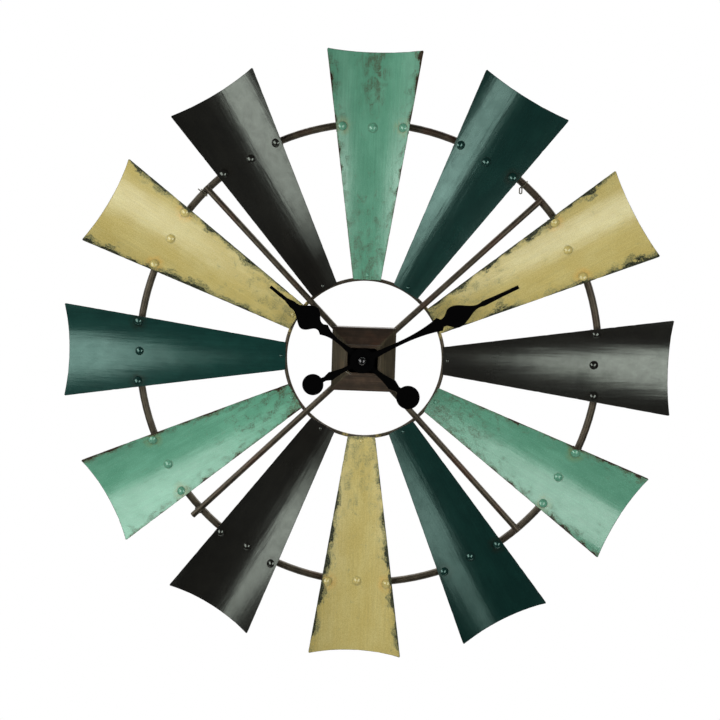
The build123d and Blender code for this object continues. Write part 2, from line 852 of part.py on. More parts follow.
os.makedirs("parts", exist_ok=True)
make_wheel()
make_hub_housing()
make_movement_plate()
make_movement_case()
make_movement_cover()
make_fixings()
make_motion_work()
make_running_train()
make_motor()
make_electronics()
make_hands()
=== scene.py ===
"""Looks of a windmill wall clock: worn painted blades, bronzed rods and hub, and black spade hands.

Metres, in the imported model's frame: +Z is up, the dial faces -Y and the wall is the plane Y = 0.
A "forward" value is a distance from the wall towards -Y, and hour angles run clockwise from twelve.
"""

from math import asin, cos, exp, pi, radians, sin, sqrt
import random

import bmesh
import bpy
from mathutils import Matrix, Vector, noise


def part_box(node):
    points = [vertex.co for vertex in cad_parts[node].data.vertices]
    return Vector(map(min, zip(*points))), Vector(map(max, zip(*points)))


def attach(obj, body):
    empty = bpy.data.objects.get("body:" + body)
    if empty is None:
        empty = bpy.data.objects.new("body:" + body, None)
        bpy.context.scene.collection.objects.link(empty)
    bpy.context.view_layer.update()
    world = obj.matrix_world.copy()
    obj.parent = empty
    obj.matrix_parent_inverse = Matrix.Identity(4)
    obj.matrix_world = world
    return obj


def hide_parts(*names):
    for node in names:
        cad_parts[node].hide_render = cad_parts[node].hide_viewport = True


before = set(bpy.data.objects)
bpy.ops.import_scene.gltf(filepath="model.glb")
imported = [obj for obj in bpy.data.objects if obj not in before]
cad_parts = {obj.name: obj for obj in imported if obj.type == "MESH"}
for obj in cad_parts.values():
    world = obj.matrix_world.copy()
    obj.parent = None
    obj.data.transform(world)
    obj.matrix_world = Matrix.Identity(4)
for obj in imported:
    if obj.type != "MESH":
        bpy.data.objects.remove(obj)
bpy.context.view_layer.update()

MM = 0.001

# ---------------------------------------------------------------- driving dimensions

BLADE_COUNT = 12
TROUGH_RADIUS = 80 * MM
SHEET = 0.8 * MM
HEEL_HALF_WIDTH = 14.2 * MM
LARGE_RIVET_RADIUS = 231.5 * MM  # from the dial's axis to the row of three
LARGE_RIVET_ACROSS = 30 * MM  # from the middle one of the row to each of the others
SMALL_RIVET_RADIUS = 84.8 * MM
RIVET_SIDES = 28
LARGE_RIVET = (4.4 * MM, 2.3 * MM, 2.0 * MM)  # head's radius, its height and the shank's radius
SMALL_RIVET = (2.0 * MM, 1.0 * MM, 1.0 * MM)
STRAP = 1.0 * MM  # thickness of the rib or clip behind the sheet
INNER_RING_RADIUS = 80.8 * MM
ROD_FRONT = 12.5 * MM
SPOKE_WELD_ASIDE = 2.7 * MM  # from a spoke's axis to the weld bead beside it
HUB_STEP = 20 * MM  # from the axis to the edge of the hub's opening

# Each spoke's angle clockwise from twelve, in degrees, and where it meets the outer ring, in mm.
SPOKES = ((46.2, 237.8), (136.3, 236.5), (225.6, 236.0), (315.6, 235.5))

# Degrees that a blade is set off its hour.
BLADE_OFF = {3: -0.4, 4: -0.5, 8: -0.4, 11: -1.3, 12: 0.5}

blade_low, blade_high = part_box("blade_06")
TIP = -blade_low.z
HEEL = -blade_high.z
TIP_HALF_WIDTH = blade_high.x
BLADE_BACK = -blade_high.y
TROUGH_CENTRE = BLADE_BACK + SHEET + TROUGH_RADIUS
TAPER = (TIP_HALF_WIDTH - HEEL_HALF_WIDTH) / (TIP - HEEL)

COLOURS = ("seafoam", "teal", "cream", "black")  # in the order that they come round from twelve

# How much paler than its colour each blade's paint is drawn: partly painted light, as on the blade
# at nine, drawn paler for more light from the left, and partly differences of the coat.
TONE_AND_LIGHT = {3: 1.2, 5: 0.95, 8: 1.15, 9: 1.5, 10: 0.93, 12: 0.96}

# How glossy each blade's coat is near the heel, midway and near the tip, which are the distances
# from the axis in GLOSS_AT.
GLOSS = {
    1: (0.65, 1.1, 0.75), 2: (0.6, 0.8, 0.9), 3: (0.3, 0.85, 1.1), 4: (1.0, 0.95, 1.0),
    5: (0.4, 0.6, 0.35), 6: (0.6, 0.8, 0.8), 7: (0.15, 0.95, 0.85), 8: (0.25, 0.85, 1.0),
    9: (0.05, 0.25, 0.9), 10: (0.2, 0.55, 0.85), 11: (0.05, 0.85, 1.0), 12: (0.6, 0.95, 0.2),
}
GLOSS_AT = (110 * MM, 180 * MM, 265 * MM)

# The third value of "place" is the hour times this, so that no two blades share their noise.
HOUR_APART = 100 * MM


def half_width(radius):
    """Half the width of a blade at one distance from the dial's axis."""
    return HEEL_HALF_WIDTH + TAPER * (radius - HEEL)


def wheel_point(hour, sideways, radius, forward):
    """Point given beside a blade's centre line: clockwise of it, out from the axis and forward."""
    turn = radians(hour * 360 / BLADE_COUNT + BLADE_OFF.get(hour or BLADE_COUNT, 0.0))
    return rim_point(turn, sideways, radius, forward)


def rim_point(turn, sideways, radius, forward):
    """Point beside the radius at one hour angle, in radians."""
    return Vector(
        (
            radius * sin(turn) + sideways * cos(turn),
            -forward,
            radius * cos(turn) - sideways * sin(turn),
        )
    )


# ---------------------------------------------------------------- material graphs


def srgb(red, green, blue):
    """Linear colour of an 8-bit screen colour."""
    return tuple(((c / 255 + 0.055) / 1.055) ** 2.4 for c in (red, green, blue)) + (1.0,)


class Graph:
    """A material's nodes, joined by short calls. Every value is a number, a colour or a socket."""

    def __init__(self, name):
        self.material = bpy.data.materials.new(name)
        self.material.use_nodes = True
        self.tree = self.material.node_tree
        self.shader = self.tree.nodes["Principled BSDF"]
        self.point = self.add("ShaderNodeTexCoord").outputs["Object"]

    def add(self, kind, inputs=None, **settings):
        node = self.tree.nodes.new(kind)
        for setting, value in settings.items():
            setattr(node, setting, value)
        for key, value in (inputs or {}).items():
            self.feed(node.inputs[key], value)
        return node

    def feed(self, socket, value):
        if isinstance(value, bpy.types.NodeSocket):
            self.tree.links.new(value, socket)
        else:
            socket.default_value = value

    def calc(self, operation, *values, clamp=False):
        inputs = dict(enumerate(values))
        return self.add("ShaderNodeMath", inputs, operation=operation, use_clamp=clamp).outputs[0]

    def attribute(self, name):
        return self.add("ShaderNodeAttribute", attribute_name=name).outputs["Vector"]

    def split(self, vector):
        return self.add("ShaderNodeSeparateXYZ", {0: vector}).outputs

    def scaled(self, vector, factors):
        node = self.add("ShaderNodeVectorMath", {0: vector, 1: factors}, operation="MULTIPLY")
        return node.outputs[0]

    def noise(self, vector, sizes, detail=3.0, roughness=0.55, distortion=0.0):
        """Noise whose features have about these sizes along the vector's axes."""
        if not isinstance(sizes, tuple):
            sizes = (sizes, sizes, sizes)
        inputs = {
            "Vector": self.scaled(vector, tuple(1 / size for size in sizes)),
            "Scale": 1.0,
            "Detail": detail,
            "Roughness": roughness,
            "Distortion": distortion,
        }
        return self.add("ShaderNodeTexNoise", inputs).outputs["Fac"]

    def dots(self, vector, spacing, smallest, largest):
        """Round specks, one to a cell, between two radii; a negative smallest leaves cells empty."""
        cells = self.add("ShaderNodeTexVoronoi", {"Vector": vector, "Scale": 1 / spacing})
        pick = self.split(cells.outputs["Color"])[0]
        reach = self.ramp(pick, 0.0, 1.0, smallest / spacing, largest / spacing)
        inside = self.calc("SUBTRACT", reach, cells.outputs["Distance"])
        soft_rim = 0.04
        return self.ramp(inside, 0.0, soft_rim)

    def ramp(self, value, low, high, start=0.0, end=1.0, smooth=True):
        """Value carried from low-high to start-end and held there."""
        kind = "SMOOTHSTEP" if smooth and start == 0.0 and end == 1.0 else "LINEAR"
        inputs = {0: value, 1: low, 2: high, 3: start, 4: end}
        return self.add("ShaderNodeMapRange", inputs, interpolation_type=kind).outputs[0]

    def mix(self, amount, under, over):
        node = self.add("ShaderNodeMix", data_type="RGBA")
        self.feed(node.inputs[0], amount)
        self.feed(node.inputs[6], under)
        self.feed(node.inputs[7], over)
        return node.outputs[2]

    def product(self, *values):
        total = values[0]
        for value in values[1:]:
            total = self.calc("MULTIPLY", total, value)
        return total

    def length(self, x, y):
        """Distance from the origin to x and y."""
        return self.calc("SQRT", self.calc("ADD", self.product(x, x), self.product(y, y)))

    def most(self, *values):
        total = values[0]
        for value in values[1:]:
            total = self.calc("MAXIMUM", total, value)
        return total

    def tint(self, colour, brightness):
        """Colour multiplied by a brightness that comes from a socket."""
        node = self.add("ShaderNodeVectorMath", {0: colour, 1: brightness}, operation="MULTIPLY")
        return node.outputs[0]

    def bump(self, height, depth, under=None):
        inputs = {"Height": height, "Strength": 1.0, "Distance": depth}
        if under is not None:
            inputs["Normal"] = under
        return self.add("ShaderNodeBump", inputs).outputs[0]

    def finish(self, colour, roughness, normal=None, **constants):
        self.feed(self.shader.inputs["Base Color"], colour)
        self.feed(self.shader.inputs["Roughness"], roughness)
        if normal is not None:
            self.feed(self.shader.inputs["Normal"], normal)
        for socket, value in constants.items():
            self.shader.inputs[socket.replace("_", " ")].default_value = value
        return self.material


# ---------------------------------------------------------------- paint on the blades

# "base" and "pale" are a paint's two shades, and the grime and "stain" colours are what darkens it;
# the grime colour is also painted contact shade round the foot of each rivet. "iron" is the metal
# where it is chipped, and "rivet_stain" the tint beside the outer rivets. "chips" and "spread" are
# how far in from an edge chips and stains reach, and "mottle", "specks" and "wear" how strong each
# kind of wear is. "sheen" and "roughness" set how the coat mirrors the lights.
PAINTS = {
    "seafoam": {
        "base": srgb(90, 149, 122),
        "pale": srgb(101, 160, 133),
        "grime_and_shade": srgb(74, 72, 54),
        "stain": srgb(84, 92, 66),
        "iron": srgb(46, 32, 24),
        "rivet_stain": srgb(128, 138, 86),
        "chips": 2.2 * MM,
        "mottle": 0.7,
        "specks": 0.9,
        "spread": 2.5 * MM,
        "wear": 1.0,
        "sheen": srgb(238, 255, 244),
        "roughness": 0.25,
    },
    "teal": {
        "base": srgb(15, 42, 38),
        "pale": srgb(18, 48, 43),
        "grime_and_shade": srgb(16, 22, 20),
        "stain": srgb(20, 26, 22),
        "iron": srgb(26, 18, 14),
        "rivet_stain": srgb(30, 27, 18),
        "chips": 0.5 * MM,
        "mottle": 0.15,
        "specks": 0.1,
        "spread": 0.6 * MM,
        "wear": 0.35,
        "sheen": srgb(205, 255, 240),
        "roughness": 0.22,
    },
    "cream": {
        "base": srgb(194, 177, 106),
        "pale": srgb(201, 187, 120),
        "grime_and_shade": srgb(118, 122, 88),
        "stain": srgb(86, 94, 68),
        "iron": srgb(26, 29, 22),
        "rivet_stain": srgb(214, 164, 68),
        "chips": 2.0 * MM,
        "mottle": 0.7,
        "specks": 0.7,
        "spread": 4.0 * MM,
        "wear": 1.0,
        "sheen": srgb(244, 255, 244),
        "roughness": 0.27,
    },
    "black": {
        "base": srgb(23, 22, 20),
        "pale": srgb(28, 27, 24),
        "grime_and_shade": srgb(22, 20, 17),
        "stain": srgb(26, 22, 17),
        "iron": srgb(28, 21, 16),
        "rivet_stain": srgb(24, 21, 17),
        "chips": 0.4 * MM,
        "mottle": 0.1,
        "specks": 0.1,
        "spread": 0.4 * MM,
        "wear": 0.3,
        "sheen": srgb(242, 255, 240),
        "roughness": 0.22,
    },
}

# Where the paint has worn off along a blade's edge: hour, side (-1 is anticlockwise), distance
# from the axis, half length and depth, in mm.
WORN = (
    (0, -1, 277, 9, 4.5), (0, -1, 238, 5, 2.5), (0, -1, 207, 6, 3.0), (0, -1, 190, 5, 2.5),
    (0, 1, 301, 13, 7.0), (0, 1, 276, 10, 4.0), (0, 1, 242, 6, 3.5), (0, 1, 188, 5, 2.5),
    (0, 1, 169, 5, 2.5), (0, 1, 148, 4, 2.0),
    (4, -1, 300, 10, 6.0), (4, -1, 280, 8, 3.0), (4, -1, 258, 16, 4.0), (4, -1, 228, 8, 4.5),
    (4, -1, 202, 5, 2.5), (4, -1, 166, 9, 4.0), (4, -1, 130, 6, 2.5),
    (4, 1, 304, 7, 5.0), (4, 1, 286, 6, 3.5), (4, 1, 264, 8, 4.5), (4, 1, 246, 6, 3.5),
    (4, 1, 191, 7, 4.0), (4, 1, 172, 5, 3.0), (4, 1, 140, 5, 2.0),
    (8, 1, 300, 14, 4.5), (8, 1, 274, 14, 3.5), (8, 1, 222, 9, 3.5), (8, 1, 192, 6, 2.5),
    (8, 1, 164, 12, 3.5), (8, 1, 131, 8, 2.5), (8, 1, 92, 9, 7.0), (8, -1, 262, 5, 2.0),
    (8, -1, 205, 6, 3.0), (8, -1, 163, 6, 3.5), (8, -1, 90, 8, 5.0),
    (10, -1, 298, 11, 6.0), (10, -1, 276, 10, 6.5), (10, -1, 252, 8, 3.5), (10, -1, 236, 6, 4.0),
    (10, -1, 210, 12, 7.0), (10, -1, 186, 14, 7.5), (10, -1, 150, 8, 3.0), (10, -1, 132, 8, 4.5),
    (10, -1, 112, 8, 2.0), (10, 1, 291, 10, 6.0), (10, 1, 266, 12, 6.0), (10, 1, 231, 7, 8.0),
    (10, 1, 200, 10, 7.0), (10, 1, 178, 10, 4.0), (10, 1, 152, 10, 6.5), (10, 1, 112, 14, 2.5),
    (2, -1, 276, 11, 9.0), (2, -1, 250, 8, 4.0), (2, -1, 226, 9, 7.0), (2, -1, 206, 11, 8.5),
    (2, -1, 180, 10, 5.0), (2, -1, 157, 11, 7.5), (2, -1, 120, 12, 6.0), (2, -1, 92, 10, 5.0),
    (2, 1, 306, 8, 10.0), (2, 1, 284, 13, 11.0), (2, 1, 260, 10, 5.0), (2, 1, 229, 9, 4.0),
    (2, 1, 206, 10, 3.0), (2, 1, 146, 14, 7.0), (2, 1, 100, 12, 4.0),
    (6, 1, 148, 11, 5.0), (6, 1, 184, 14, 6.5), (6, 1, 213, 13, 8.0), (6, 1, 246, 13, 8.5),
    (6, 1, 276, 12, 5.0), (6, -1, 166, 9, 6.0), (6, -1, 203, 13, 8.0), (6, -1, 226, 8, 5.0),
    (6, -1, 248, 10, 8.0), (6, -1, 281, 14, 5.0), (6, -1, 128, 8, 3.0),
)


def worn_depth(hour, side, along):
    """How far in from one edge the paint is worn at a distance from the axis."""
    total = 0.0
    for spot_hour, spot_side, middle, half_length, depth in WORN:
        if (spot_hour, spot_side) == (hour, side):
            total = max(total, depth * MM * exp(-(((along / MM - middle) / half_length) ** 2)))
    return total


def gloss(hour, along):
    """How glossy one blade's coat is at a distance from the axis."""
    heel, middle, tip = GLOSS[hour or BLADE_COUNT]
    start, halfway, end = GLOSS_AT
    if along < halfway:
        return heel + (middle - heel) * max(0.0, (along - start) / (halfway - start))
    return middle + (tip - middle) * min(1.0, (along - halfway) / (end - halfway))


def blade_front_material(name):
    """Brushed-on paint, worn through to dark iron along the blade's edges."""
    look = PAINTS[name]
    g = Graph(f"{name}_blade_front")
    place = g.attribute("place")
    worn, tone_and_light, shine = g.split(g.attribute("coat_and_light"))
    across, along, hour = g.split(place)

    half = g.calc("MULTIPLY_ADD", along, TAPER, HEEL_HALF_WIDTH - TAPER * HEEL)
    side_gap = g.calc("SUBTRACT", half, g.calc("ABSOLUTE", across))
    tip_gap = g.calc("SUBTRACT", TIP, along)
    edge = g.calc("MINIMUM", side_gap, g.calc("SUBTRACT", along, HEEL))

    streaks = g.noise(place, (1.5 * MM, 60 * MM, 1 * MM), detail=3.0, roughness=0.6)
    brushing = g.noise(place, (6 * MM, 70 * MM, 1 * MM), detail=3.0)
    clouds = g.noise(place, (16 * MM, 34 * MM, 1 * MM), detail=4.0, roughness=0.6)
    grain = g.noise(place, 0.9 * MM, detail=2.0, roughness=0.7)
    patches = g.noise(place, (8 * MM, 12 * MM, 1 * MM), detail=6.0, roughness=0.68, distortion=0.4)
    flecks = g.noise(place, 1.3 * MM, detail=5.0, roughness=0.78)
    ragged = g.noise(place, (4 * MM, 9 * MM, 1 * MM), detail=5.0, roughness=0.62)

    colour = g.mix(g.ramp(clouds, 0.35, 0.7), look["base"], look["pale"])
    streak_light = g.ramp(streaks, 0.3, 0.7, 0.92, 1.08)
    grain_light = g.ramp(grain, 0.3, 0.7, 0.94, 1.06)
    # The tone is partly painted light: some blades are drawn paler or darker for the light they get.
    colour = g.tint(colour, g.product(streak_light, grain_light, tone_and_light))

    near_axis = g.ramp(g.calc("ABSOLUTE", across), 4 * MM, 20 * MM, 1.0, 0.0)
    at_twelve = g.calc("LESS_THAN", hour, HOUR_APART / 2)
    outer_axis = g.product(near_axis, g.ramp(along, 225 * MM, 285 * MM), at_twelve)
    near_edge = g.ramp(side_gap, 2 * MM, 14 * MM, 1.0, 0.0)
    inner_part = g.ramp(along, 100 * MM, 200 * MM, 1.0, 0.0)
    where = g.most(outer_axis, g.product(near_edge, 0.9), inner_part)
    mottled = g.ramp(g.calc("ADD", patches, g.product(where, 0.17)), 0.58, 0.76)
    flecked = g.ramp(flecks, 0.42, 0.56)
    mottle = g.product(mottled, g.ramp(flecked, 0.0, 1.0, 0.12, 1.0), look["mottle"])
    colour = g.mix(mottle, colour, look["grime_and_shade"])
    brushed_dark = g.product(outer_axis, g.ramp(streaks, 0.38, 0.62), g.ramp(patches, 0.36, 0.56))
    colour = g.mix(g.product(brushed_dark, 0.62), colour, look["grime_and_shade"])

    specks = g.dots(place, 7 * MM, -1.6 * MM, 0.75 * MM)
    crowded = g.ramp(clouds, 0.42, 0.6)
    colour = g.mix(g.product(specks, crowded, 0.8 * look["specks"]), colour, look["iron"])

    beside_rivet = g.calc("SUBTRACT", g.calc("ABSOLUTE", across), LARGE_RIVET_ACROSS)
    beyond_rivet = g.calc("SUBTRACT", along, LARGE_RIVET_RADIUS)
    side_rivet = g.length(beside_rivet, beyond_rivet)
    middle_rivet = g.length(across, beyond_rivet)
    warm = g.product(g.ramp(side_rivet, 4 * MM, 11 * MM, 1.0, 0.0), g.ramp(patches, 0.36, 0.56))
    colour = g.mix(g.product(warm, 0.6), colour, look["rivet_stain"])
    # The rivets' seats: a dark ring round each head on the sheet, grime in the seam and painted contact
    # shade.
    rivet_gap = g.calc("MINIMUM", side_rivet, middle_rivet)
    seat_reach = g.ramp(flecks, 0.35, 0.65, 4.5 * MM, 6.2 * MM)
    seat = g.ramp(g.calc("SUBTRACT", seat_reach, rivet_gap), 0.0, 0.5 * MM)
    colour = g.mix(g.product(seat, 0.35), colour, look["grime_and_shade"])

    jagged = g.ramp(flecks, 0.3, 0.7, -1.0 * MM, 1.0 * MM)
    scattered = g.product(g.ramp(ragged, 0.52, 0.78), look["chips"])
    lumpy = g.product(worn, g.ramp(ragged, 0.34, 0.62, 0.3, 1.35))
    worn_through = g.most(lumpy, scattered)
    spread = g.product(g.ramp(clouds, 0.35, 0.65), look["spread"])
    stain_reach = g.calc("ADD", worn_through, spread)
    stain_depth = g.calc("SUBTRACT", g.calc("ADD", stain_reach, jagged), edge)
    broken = g.ramp(flecks, 0.4, 0.56, 0.3, 1.0)
    stain = g.product(g.ramp(stain_depth, -0.5 * MM, 2.2 * MM), broken, look["wear"])
    colour = g.mix(g.product(stain, 0.85), colour, look["stain"])
    thin_line = g.ramp(flecks, 0.35, 0.65, 0.1 * MM, 0.6 * MM)
    reach = g.most(g.product(worn_through, 0.62), thin_line)
    ragged_edge = g.product(jagged, g.ramp(reach, 0.2 * MM, 2 * MM))
    side_depth = g.calc("SUBTRACT", g.calc("ADD", reach, ragged_edge), edge)
    depth_in = g.most(side_depth, g.calc("SUBTRACT", thin_line, tip_gap))
    chip = g.ramp(depth_in, -0.2 * MM, 0.2 * MM)
    colour = g.mix(chip, colour, g.mix(g.ramp(flecks, 0.45, 0.7), look["iron"], look["grime_and_shade"]))

    matt = g.most(g.product(mottle, 0.7), g.product(stain, 0.8), chip)
    rough = g.ramp(grain, 0.3, 0.7, look["roughness"] - 0.03, look["roughness"] + 0.04)
    rough = g.calc("ADD", rough, g.product(matt, 0.22))
    haze = g.ramp(patches, 0.35, 0.65, 1.08, 0.84)
    level = g.product(g.ramp(matt, 0.0, 1.0, 0.9, 0.25), shine, haze)
    g.feed(g.shader.inputs["Specular IOR Level"], level)
    peel = g.noise(place, 4 * MM, detail=2.0)
    normal = g.bump(g.calc("SUBTRACT", 1.0, chip), 0.06 * MM)
    normal = g.bump(peel, 0.015 * MM, normal)
    normal = g.bump(brushing, 0.22 * MM, normal)
    normal = g.bump(streaks, 0.014 * MM, normal)
    return g.finish(colour, rough, normal, Specular_Tint=look["sheen"])


def blade_back_material(name):
    """Dark primer on the back, with the front's paint blown round the edges."""
    look = PAINTS[name]
    g = Graph(f"{name}_blade_back")
    place = g.attribute("place")
    across, along, _ = g.split(place)
    half = g.calc("MULTIPLY_ADD", along, TAPER, HEEL_HALF_WIDTH - TAPER * HEEL)
    edge = g.calc("SUBTRACT", half, g.calc("ABSOLUTE", across))
    edge = g.calc("MINIMUM", edge, g.calc("SUBTRACT", TIP, along))
    clouds = g.noise(place, 9 * MM, detail=5.0, roughness=0.65)
    grain = g.noise(place, 0.8 * MM, detail=2.0)
    primer = g.mix(g.ramp(clouds, 0.35, 0.7), srgb(30, 27, 25), srgb(46, 39, 33))
    blown = g.calc("ADD", g.ramp(edge, 0.0, 9 * MM, 0.75, 0.0), g.ramp(clouds, 0.3, 0.7, -0.35, 0.2))
    speckled = g.ramp(g.calc("ADD", blown, g.ramp(grain, 0.3, 0.7, -0.15, 0.15)), 0.1, 0.7)
    colour = g.mix(g.product(speckled, 0.8), primer, look["base"])
    rough = g.ramp(clouds, 0.3, 0.7, 0.45, 0.62)
    normal = g.bump(grain, 0.02 * MM, g.bump(clouds, 0.05 * MM))
    return g.finish(colour, rough, normal)


def iron_graph(name, dark, light, rust, roughness=0.4):
    """Iron under a dark bronze wash, rubbed thinner in places: its graph, colour and normal."""
    g = Graph(name)
    clouds = g.noise(g.point, 9 * MM, detail=5.0, roughness=0.65)
    stretches = g.noise(g.point, 34 * MM, detail=3.0)
    grain = g.noise(g.point, 0.7 * MM, detail=3.0, roughness=0.7)
    rubbed = g.ramp(g.calc("ADD", clouds, g.product(grain, 0.3)), 0.52, 0.82)
    colour = g.mix(rubbed, dark, light)
    colour = g.mix(g.product(g.ramp(stretches, 0.5, 0.68), 0.7), colour, rust)
    spots = g.dots(g.point, 5 * MM, -1.0 * MM, 0.6 * MM)
    colour = g.mix(g.product(spots, 0.4), colour, rust)
    g.feed(g.shader.inputs["Roughness"], g.ramp(grain, 0.3, 0.7, roughness - 0.05, roughness + 0.1))
    normal = g.bump(grain, 0.03 * MM, g.bump(clouds, 0.08 * MM))
    g.feed(g.shader.inputs["Normal"], normal)
    g.shader.inputs["Specular Tint"].default_value = srgb(255, 236, 208)
    return g, colour


def iron_material(name, dark, light, rust, roughness=0.4):
    """Bronzed iron with nothing over it."""
    g, colour = iron_graph(name, dark, light, rust, roughness)
    g.feed(g.shader.inputs["Base Color"], colour)
    return g.material


def ring_material(dark, light, rust):
    """The inner ring's bronze wash, with paint blown on beside the pale blades' inner ends."""
    g, colour = iron_graph("painted_ring", dark, light, rust)
    x, _, z = g.split(g.point)
    turn = g.calc("DIVIDE", g.calc("ARCTAN2", x, z), 2 * pi / BLADE_COUNT)
    nearest = g.calc("ROUND", turn)
    off = g.calc("ABSOLUTE", g.calc("SUBTRACT", turn, nearest))
    flecks = g.noise(g.point, 2.5 * MM, detail=4.0, roughness=0.7)
    beside = g.product(g.ramp(off, 0.30, 0.36), g.ramp(off, 0.44, 0.5, 1.0, 0.0))
    blown = g.product(beside, g.ramp(flecks, 0.4, 0.56), 0.45)
    kind = g.calc("WRAP", nearest, 0.0, 4.0)
    for value, paint in ((0.0, "seafoam"), (2.0, "cream")):
        this = g.calc("COMPARE", kind, value, 0.5)
        colour = g.mix(g.product(blown, this), colour, PAINTS[paint]["base"])
    g.feed(g.shader.inputs["Base Color"], colour)
    return g.material


# ---------------------------------------------------------------- meshes


def new_piece(name, vertices, faces, materials, indices=None, attributes=None, sharp=40):
    """Mesh object with smooth shading broken at sharp angles, in degrees."""
    mesh = bpy.data.meshes.new(name)
    mesh.from_pydata(vertices, [], faces)
    for material in materials:
        mesh.materials.append(material)
    if indices is not None:
        mesh.polygons.foreach_set("material_index", indices)
    for attribute, values in (attributes or {}).items():
        kind = "FLOAT" if isinstance(values[0], float) else "FLOAT_VECTOR"
        layer = mesh.attributes.new(attribute, kind, "POINT")
        if kind == "FLOAT":
            layer.data.foreach_set("value", values)
        else:
            layer.data.foreach_set("vector", [part for value in values for part in value])
    mesh.polygons.foreach_set("use_smooth", [True] * len(mesh.polygons))
    mesh.set_sharp_from_angle(angle=radians(sharp))
    mesh.validate()
    piece = bpy.data.objects.new(name, mesh)
    bpy.context.scene.collection.objects.link(piece)
    return piece


def bevelled(piece, width, segments=2):
    """Rounds a piece's sharp edges."""
    modifier = piece.modifiers.new("edges", "BEVEL")
    modifier.width = width
    modifier.segments = segments
    modifier.limit_method = "ANGLE"
    modifier.angle_limit = radians(40)
    modifier.use_clamp_overlap = True
    return piece


def evenly(count, margin):
    """Evenly spaced values from -1 to 1, with one more at a margin from each end."""
    middle = [-1 + 2 * step / count for step in range(count + 1)]
    return sorted(middle + [-1 + margin, 1 - margin])


DENTS_PER_BLADE = 5
BLADE_COLUMNS = 30  # strips across the sheet
BLADE_ROWS = 72  # strips along the sheet


def blade_dents(hour):
    """A few shallow dents for one blade: place across and along, radius and depth."""
    draw = random.Random(hour)
    dents = []
    for _ in range(DENTS_PER_BLADE):
        along = draw.uniform(HEEL + 30 * MM, TIP - 12 * MM)
        across = draw.uniform(-0.8, 0.8) * half_width(along)
        dents.append((across, along, draw.uniform(4, 10) * MM, draw.uniform(-0.22, 0.22) * MM))
    return dents


def blade_surface(hour, dents, across, along):
    """How far one blade's sheet lies from its true bend, away from its rivets."""
    wave = noise.noise(Vector((across / (34 * MM), along / (60 * MM), hour))) * 0.3 * MM
    ripple = noise.noise(Vector((across / (9 * MM), along / (30 * MM), hour + 40.0))) * 0.045 * MM
    total = wave + ripple
    for x, r, radius, depth in dents:
        total += depth * exp(-((across - x) ** 2 + (along - r) ** 2) / radius**2)
    from_large = abs(along - LARGE_RIVET_RADIUS) / (16 * MM)
    from_small = abs(along - SMALL_RIVET_RADIUS) / (12 * MM)
    return total * min(1.0, from_large, from_small)


def make_blade(hour, front, back, rim):
    """Bent sheet with a front, a back and a cut rim, its outline a little uneven."""
    dents = blade_dents(hour)
    columns = evenly(BLADE_COLUMNS, 0.02)
    rows = evenly(BLADE_ROWS, 0.012)
    fronts, backs, places, coats_and_light = [], [], [], []
    for row in rows:
        for column in columns:
            along = (HEEL + TIP) / 2 + row * (TIP - HEEL) / 2
            across = column * half_width(along)
            if abs(column) == 1:
                nick = noise.noise(Vector((along / (6 * MM), hour, column)))
                across -= column * (0.1 + 0.35 * max(0.0, nick)) * MM
            if abs(row) == 1:
                nick = noise.noise(Vector((across / (7 * MM), hour, 5.0 + row)))
                along -= row * (0.05 + 0.3 * max(0.0, nick)) * MM
            if abs(row) == 1 and abs(column) == 1:
                across -= column * 0.7 * MM
                along -= row * 0.5 * MM
            lift = blade_surface(hour, dents, across, along)
            forward = TROUGH_CENTRE - sqrt(TROUGH_RADIUS**2 - across**2) + lift
            behind = TROUGH_CENTRE - sqrt((TROUGH_RADIUS + SHEET) ** 2 - across**2) + lift
            fronts.append(wheel_point(hour, across, along, forward))
            backs.append(wheel_point(hour, across, along, behind))
            places.append((across, along, hour * HOUR_APART))
            worn = worn_depth(hour, -1 if column < 0 else 1, along)
            coats_and_light.append((worn, TONE_AND_LIGHT.get(hour or BLADE_COUNT, 1.0), gloss(hour, along)))

    width, height = len(columns), len(rows)
    count = width * height
    faces, indices = [], []
    for row in range(height - 1):
        for column in range(width - 1):
            a = row * width + column
            quad = (a, a + 1, a + width + 1, a + width)
            faces.append(quad)
            indices.append(0)
            faces.append(tuple(corner + count for corner in reversed(quad)))
            indices.append(1)
    border = list(range(width))
    border += [row * width + width - 1 for row in range(1, height)]
    border += [(height - 1) * width + column for column in range(width - 2, -1, -1)]
    border += [row * width for row in range(height - 2, 0, -1)]
    for a, b in zip(border, border[1:] + border[:1]):
        faces.append((a, a + count, b + count, b))
        indices.append(2)

    name = f"blade_{hour or BLADE_COUNT:02d}"
    vertices = fronts + backs
    attributes = {"place": places + places, "coat_and_light": coats_and_light + coats_and_light}
    piece = new_piece(f"sheet_{name}", vertices, faces, [front, back, rim], indices, attributes)
    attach(piece, "frame")
    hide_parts(name)
    return piece


def make_blades():
    """Twelve blades, with a front and a back material for each colour and one rim for all."""
    rim = iron_material("blade_rim", srgb(20, 17, 14), srgb(46, 38, 29), srgb(44, 28, 20))
    fronts = {name: blade_front_material(name) for name in COLOURS}
    backs = {name: blade_back_material(name) for name in COLOURS}
    for hour in range(BLADE_COUNT):
        colour = COLOURS[hour % 4]
        make_blade(hour, fronts[colour], backs[colour], rim)


# ---------------------------------------------------------------- rivets


def rivet_profile(radius, height, shank):
    """Outline from the crown of the dome to the middle of the peened end, as (radius, height)."""
    dome = (radius**2 + height**2) / (2 * height)
    widest = asin(radius / dome)
    steps = 8
    outline = []
    for step in range(steps + 1):
        angle = widest * step / steps
        outline.append((dome * sin(angle), height - dome * (1 - cos(angle)) + 0.1 * MM))
    skirt = -0.35 * MM
    tail = -(SHEET + STRAP)
    outline += [(radius * 1.02, skirt * 0.4), (radius * 0.97, skirt), (shank, skirt)]
    outline += [(shank, tail + 0.1 * MM), (shank * 0.85, tail), (0.0, tail)]
    return outline


